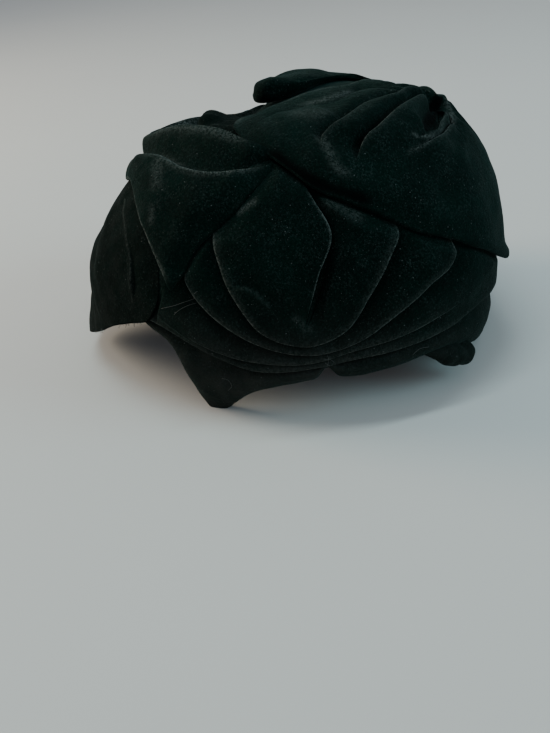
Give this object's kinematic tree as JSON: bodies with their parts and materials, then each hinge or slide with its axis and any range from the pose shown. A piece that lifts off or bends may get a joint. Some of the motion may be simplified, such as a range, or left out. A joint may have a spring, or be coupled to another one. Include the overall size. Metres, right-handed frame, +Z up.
{
  "type": "draped velvet pillbox hat",
  "caption": "Soft head-hugging hat of draped black velvet, with pleated sides, a gathered top, a folded wrap and a pointed flap at the nape.",
  "frame": {"origin": "centre of the bounding box at the height of the surface that the hat rests on", "axes": "+Z up, -Y towards the hat's front, -X towards the wearer's right"},
  "size_m": [0.1746, 0.194, 0.1109],
  "materials": {
    "black_velvet": "black silk-pile velvet with a cool sheen on the folds",
    "cap_velvet": "black velvet outside, plain dull cloth inside"
  },
  "bodies": {
    "root": {"crown": "cap_velvet", "side_swag_right": "black_velvet", "side_swag_left": "black_velvet", "front_drape": "black_velvet", "back_wrap": "black_velvet", "rear_flap": "black_velvet", "top_loop": "black_velvet", "rim_roll_end": "black_velvet"}
  },
  "joints": []
}
